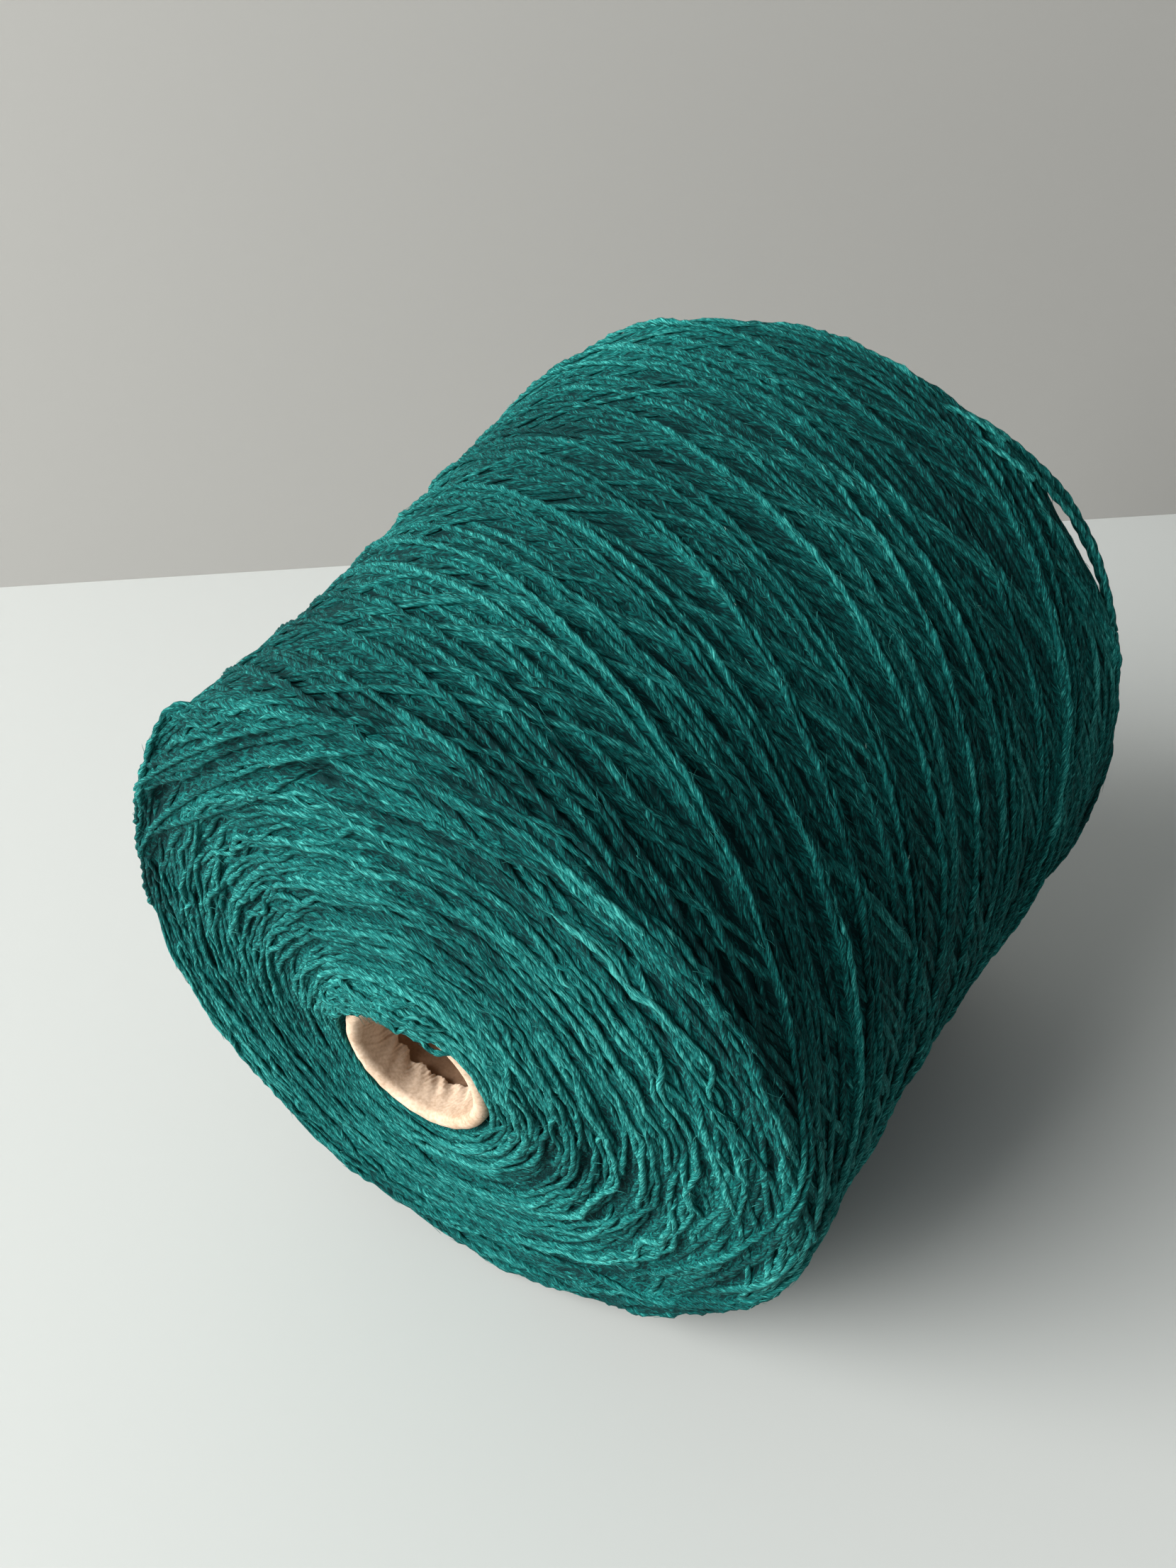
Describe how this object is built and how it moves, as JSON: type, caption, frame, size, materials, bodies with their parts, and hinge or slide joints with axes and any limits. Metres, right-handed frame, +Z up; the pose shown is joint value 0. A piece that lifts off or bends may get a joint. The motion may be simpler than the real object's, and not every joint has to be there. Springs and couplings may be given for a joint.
{
  "type": "yarn cone",
  "caption": "Tapered cone of soft slubby two-ply yarn wound on a paper core, lying on its flank, with the core's turned-in nose open and a few turns slipped off the base shoulder.",
  "frame": {"origin": "on the surface that the cone lies on, under the middle of its box", "axes": "+Z up; -Y towards the nose of the cone, whose axis dips 5.95 degrees towards the nose; +X to the right when the nose faces the viewer"},
  "size_m": [0.1804, 0.1762, 0.1783],
  "materials": {
    "kraft_outer": "matte",
    "kraft_board": "matte",
    "kraft_inner": "matte",
    "kraft_lip": "matte",
    "yarn_build": "matte",
    "yarn_surface": "matte",
    "yarn_loose": "matte"
  },
  "bodies": {
    "root": {"core_outer_ply": "kraft_outer", "core_board": "kraft_board", "core_inner_ply": "kraft_inner", "nose_lip": "kraft_lip", "yarn_inner_build": "yarn_build", "yarn_middle_build": "yarn_build", "yarn_outer_build": "yarn_surface", "slipped_turn_1": "yarn_loose", "slipped_turn_2": "yarn_loose", "slipped_turn_3": "yarn_loose"}
  },
  "joints": []
}
